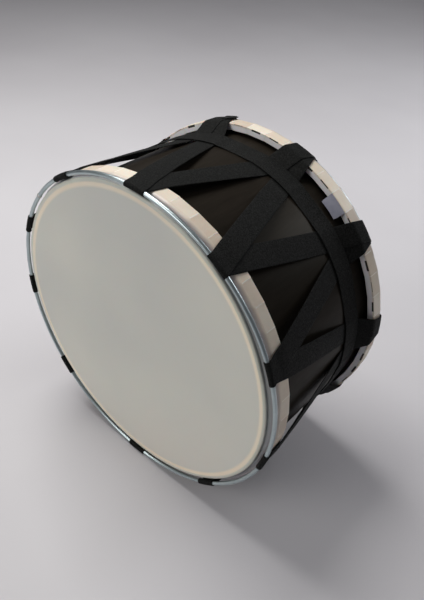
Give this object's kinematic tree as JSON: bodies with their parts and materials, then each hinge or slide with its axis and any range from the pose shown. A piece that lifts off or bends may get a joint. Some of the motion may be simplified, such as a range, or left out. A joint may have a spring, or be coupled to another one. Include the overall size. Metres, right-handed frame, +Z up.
{
  "type": "bass drum",
  "caption": "Double-headed bass drum with a wooden shell, film heads tabbed over hoops, and black webbing lacing between steel rings, lying on its side.",
  "frame": {"origin": "on the floor under the middle of the drum, which lies on its side", "axes": "+Z up, -Y out of the front head, +Y out of the rear head, +X to the right seen from the front"},
  "size_m": [0.4985, 0.2752, 0.5003],
  "materials": {
    "shell_wood": "dark brown-black satin lacquer",
    "head_film": "coated white synthetic film, matt",
    "hoop_wood": "plain bent wood, unfinished",
    "tab_film": "cream film, satin, slightly translucent",
    "galvanised_rod": "zinc-plated, drawn",
    "black_webbing": "flat woven polypropylene"
  },
  "bodies": {
    "root": {"front_head": "head_film", "front_hoop_core": "hoop_wood", "front_hoop_tabs": "tab_film", "front_tension_ring": "galvanised_rod", "girth_strap": "black_webbing", "lacing_run_01": "black_webbing", "lacing_run_02": "black_webbing", "lacing_run_03": "black_webbing", "lacing_run_04": "black_webbing", "lacing_run_05": "black_webbing", "lacing_run_06": "black_webbing", "lacing_run_07": "black_webbing", "lacing_run_08": "black_webbing", "lacing_run_09": "black_webbing", "lacing_run_10": "black_webbing", "lacing_run_11": "black_webbing", "lacing_run_12": "black_webbing", "lacing_run_13": "black_webbing", "lacing_run_14": "black_webbing", "lacing_run_15": "black_webbing", "lacing_run_16": "black_webbing", "lacing_run_17": "black_webbing", "lacing_run_18": "black_webbing", "lacing_run_19": "black_webbing", "lacing_run_20": "black_webbing", "lacing_tail": "black_webbing", "loose_tab": "tab_film", "rear_head": "head_film", "rear_hoop_core": "hoop_wood", "rear_hoop_tabs": "tab_film", "rear_tension_ring": "galvanised_rod", "shell": "shell_wood"}
  },
  "joints": []
}
